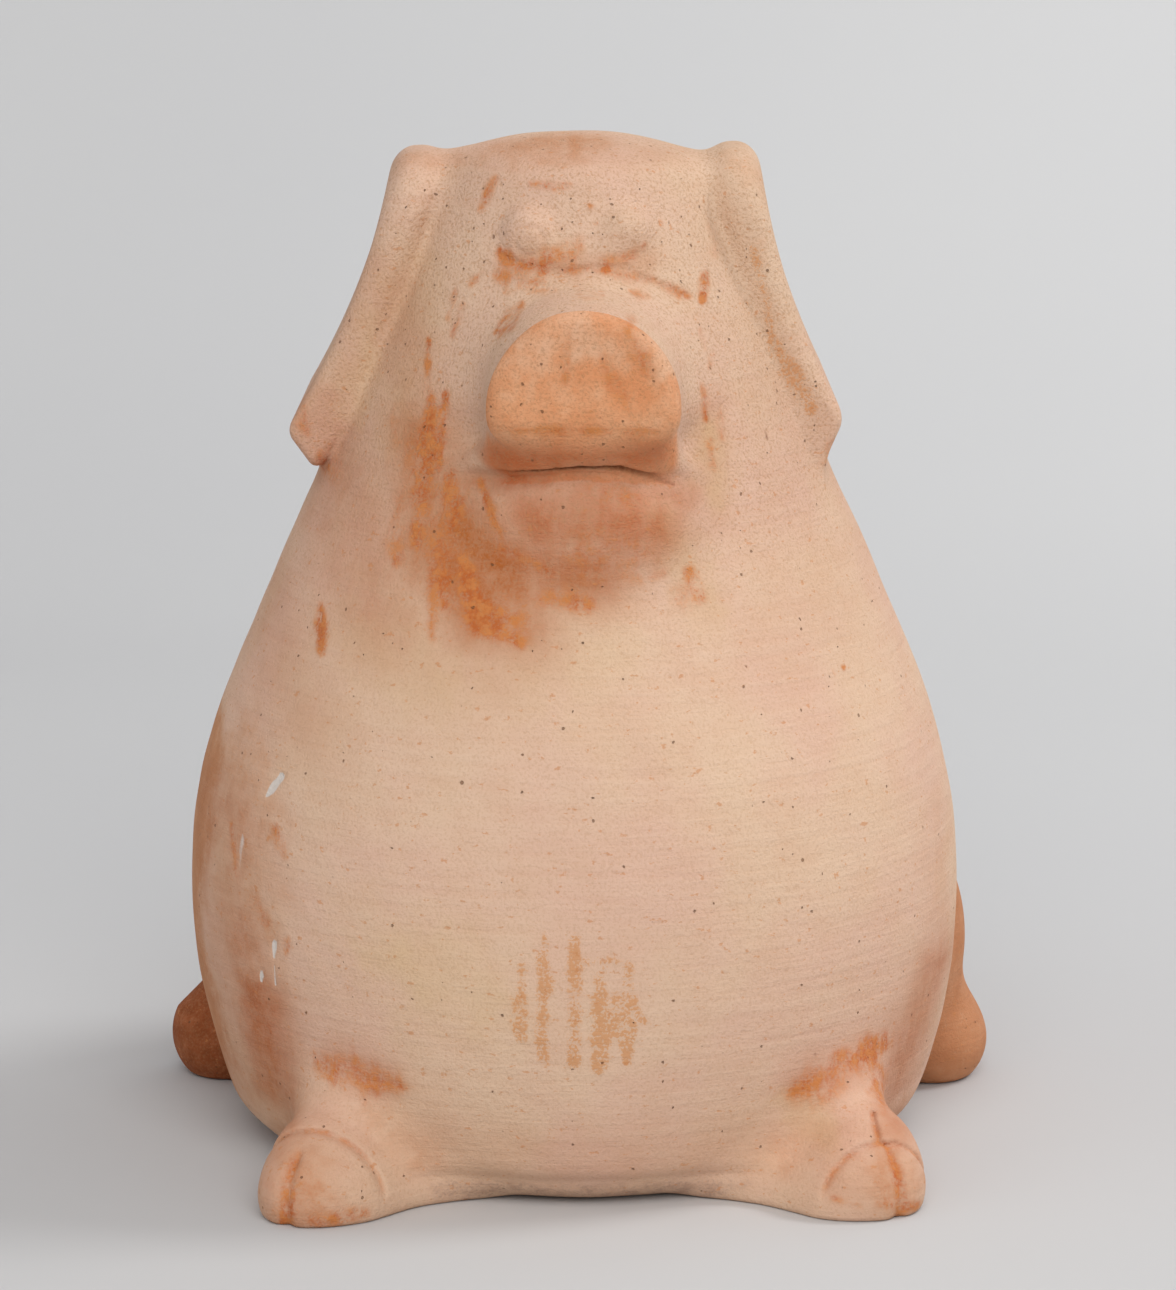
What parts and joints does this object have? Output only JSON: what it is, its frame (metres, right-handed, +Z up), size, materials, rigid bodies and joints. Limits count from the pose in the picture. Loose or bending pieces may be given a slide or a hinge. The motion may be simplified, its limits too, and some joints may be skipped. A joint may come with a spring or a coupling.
{
  "type": "piggy bank",
  "caption": "Hollow seated pig money bank in matt fired clay, with a coin slot in the nape and a rubber stopper in its base.",
  "frame": {"origin": "on the ground under the middle of the belly, which is the centre of the foot ring the bank stands on", "axes": "+Z up to the crown of the head, -Y the way the pig looks, +X the pig's own left"},
  "size_m": [0.1448, 0.1343, 0.17],
  "materials": {
    "washed_clay": "thin matt cream-pink wash over red clay, rubbed through to the orange clay in places",
    "bare_clay": "bare matt unglazed red clay",
    "stopper_rubber": "matt black moulded rubber"
  },
  "bodies": {
    "pig": {"shell_front": "washed_clay", "shell_back": "bare_clay", "base_plate": "bare_clay", "ear_left": "washed_clay", "ear_right": "washed_clay", "eye_left": "washed_clay", "eye_right": "washed_clay", "muzzle": "washed_clay", "lower_jaw": "washed_clay", "front_foot_left": "washed_clay", "front_foot_right": "washed_clay", "rear_foot_left": "bare_clay", "rear_foot_right": "bare_clay", "tail": "bare_clay"},
    "stopper": {"stopper": "stopper_rubber"}
  },
  "joints": [
    {"name": "stopper_pull", "type": "slide", "parent": "pig", "child": "stopper", "axis": [0, 0, -1], "range_m": [0, 0.06]}
  ]
}
